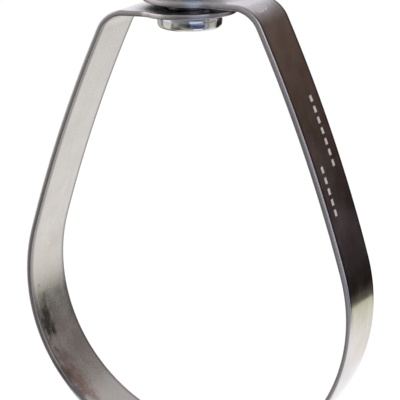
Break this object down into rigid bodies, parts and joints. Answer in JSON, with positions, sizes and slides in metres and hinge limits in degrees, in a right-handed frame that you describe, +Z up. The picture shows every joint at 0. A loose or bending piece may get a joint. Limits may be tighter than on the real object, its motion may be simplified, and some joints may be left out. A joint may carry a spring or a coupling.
{
  "type": "swivel ring hanger",
  "caption": "Teardrop ring of bent steel strip whose lapped eyes swivel on a captured knurled nut, to hang a pipe from a threaded rod.",
  "frame": {"origin": "centre of the ring's lower arc, where the pipe's centre lies", "axes": "+Z up along the rod, +Y along the pipe, X across the ring"},
  "size_m": [0.099, 0.0254, 0.1418],
  "materials": {
    "galvanised_strip": "pre-galvanised, satin, faint rolling streaks",
    "zinc_nut": "bright zinc plated, turned"
  },
  "bodies": {
    "nut": {"swivel_nut": "zinc_nut"},
    "ring": {"band": "galvanised_strip"}
  },
  "joints": [
    {"name": "ring_swivel", "type": "hinge", "parent": "nut", "child": "ring", "pos_m": [-0.0014, 0, 0.08], "axis": [0, 0, 1], "continuous": true}
  ]
}
